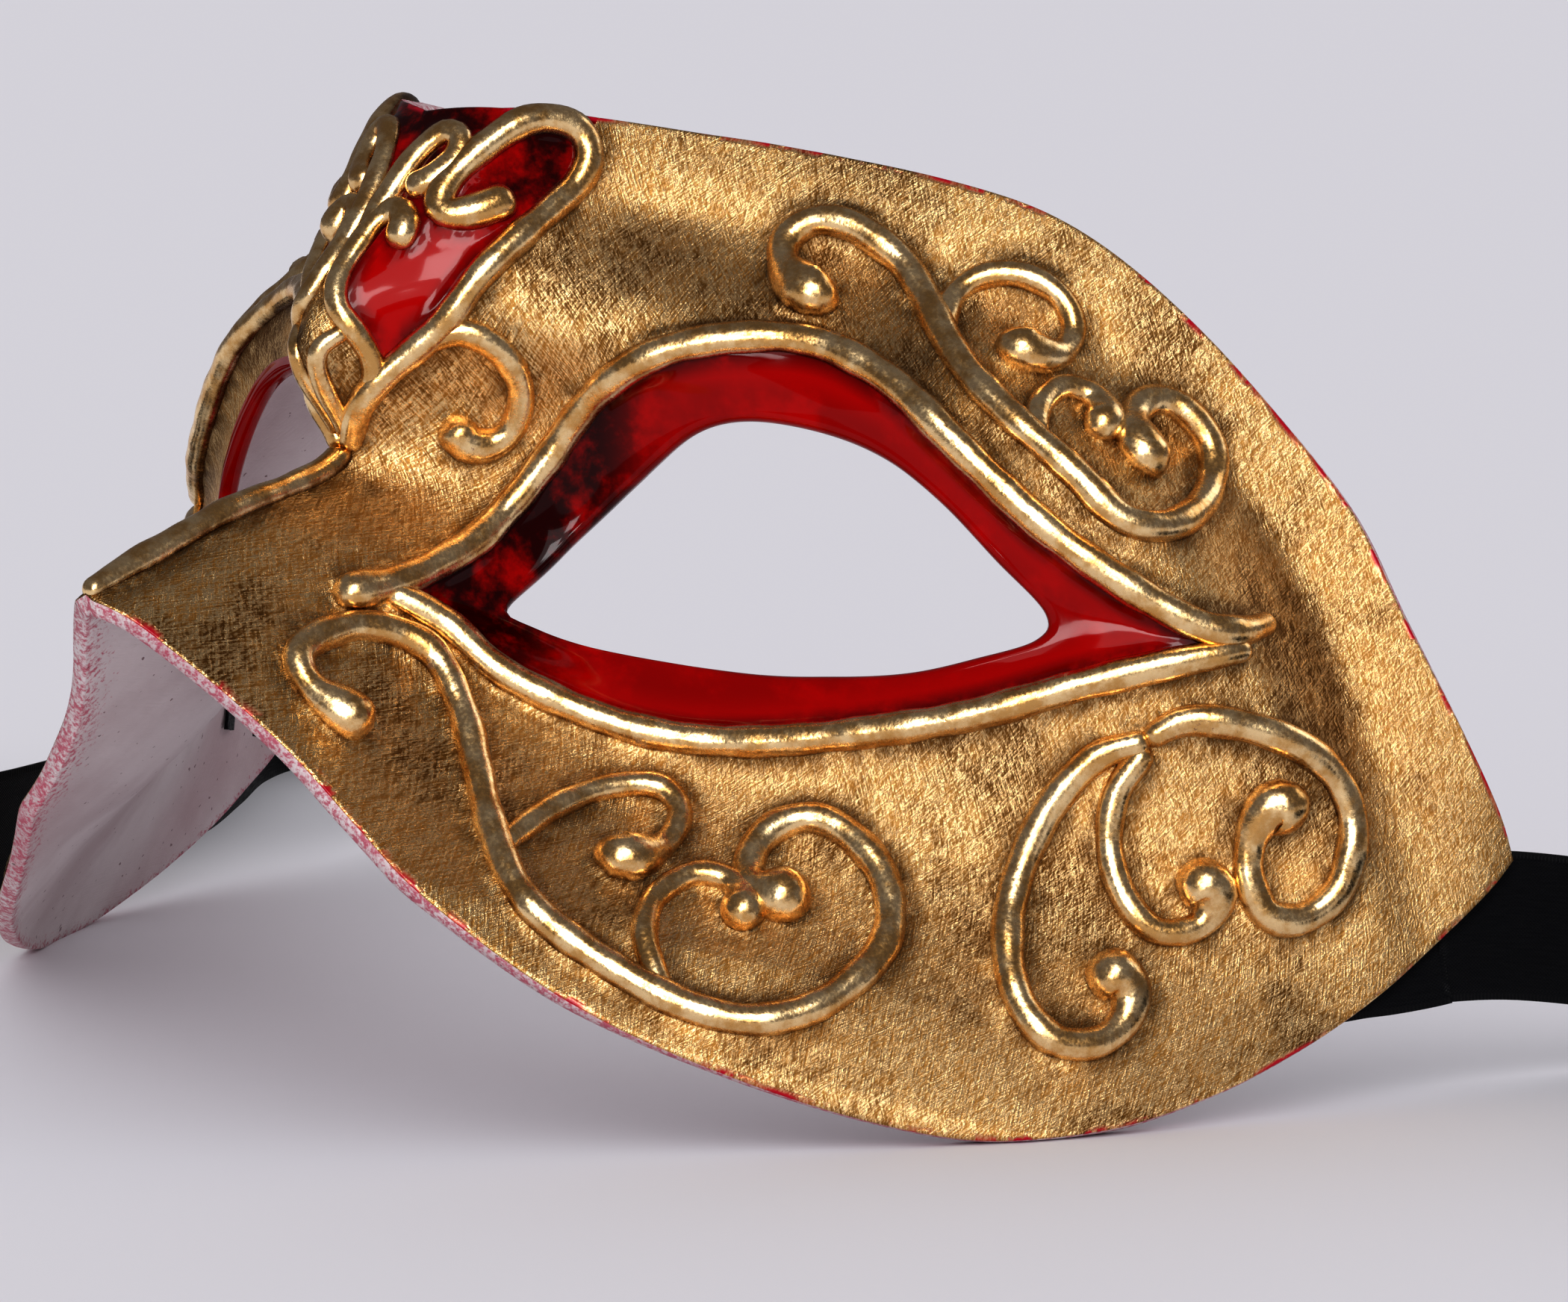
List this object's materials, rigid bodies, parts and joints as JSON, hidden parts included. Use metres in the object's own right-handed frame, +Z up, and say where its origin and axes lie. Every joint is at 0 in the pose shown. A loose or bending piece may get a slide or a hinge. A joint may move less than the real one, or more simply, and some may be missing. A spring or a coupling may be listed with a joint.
{
  "type": "venetian masquerade mask",
  "caption": "Half mask that covers the brow, nose and cheeks, with raised gold scrollwork, red lacquer and a black ribbon tie at each temple, leaning back on its cheek edges.",
  "frame": {"origin": "on the surface it stands on, below the middle of the mask's width and depth, ribbons left out", "axes": "+X to the wearer's left, -Y the way the face looks, +Z up; the mask leans back 20 degrees"},
  "size_m": [0.381, 0.1645, 0.0962],
  "materials": {
    "shell_gold": "gold leaf over moulded paper, red lacquer fields, raw paper inside",
    "cord_gold": "smooth gilded relief cord",
    "ribbon_satin": "black satin ribbon"
  },
  "bodies": {
    "root": {"shell": "shell_gold", "eye_cord_upper_left": "cord_gold", "eye_cord_upper_right": "cord_gold", "eye_cord_lower_left": "cord_gold", "eye_cord_lower_right": "cord_gold", "brow_strap_left": "cord_gold", "brow_strap_right": "cord_gold", "bridge_curl_left": "cord_gold", "bridge_curl_right": "cord_gold", "crest_curl_left": "cord_gold", "crest_curl_right": "cord_gold", "brow_column_left": "cord_gold", "brow_column_right": "cord_gold", "bridge_loop_left": "cord_gold", "bridge_loop_right": "cord_gold", "temple_vine_left": "cord_gold", "temple_vine_right": "cord_gold", "temple_curl_upper_left": "cord_gold", "temple_curl_upper_right": "cord_gold", "temple_curl_lower_left": "cord_gold", "temple_curl_lower_right": "cord_gold", "cheek_vine_left": "cord_gold", "cheek_vine_right": "cord_gold", "cheek_curl_inner_left": "cord_gold", "cheek_curl_inner_right": "cord_gold", "cheek_curl_lower_left": "cord_gold", "cheek_curl_lower_right": "cord_gold", "jaw_scroll_front_left": "cord_gold", "jaw_scroll_front_right": "cord_gold", "jaw_scroll_middle_left": "cord_gold", "jaw_scroll_middle_right": "cord_gold", "jaw_scroll_rear_left": "cord_gold", "jaw_scroll_rear_right": "cord_gold", "nose_ridge": "cord_gold", "ribbon_tab_left": "ribbon_satin", "ribbon_tab_right": "ribbon_satin", "ribbon_left": "ribbon_satin", "ribbon_right": "ribbon_satin", "ribbon_coil_left": "ribbon_satin", "ribbon_coil_right": "ribbon_satin"}
  },
  "joints": []
}
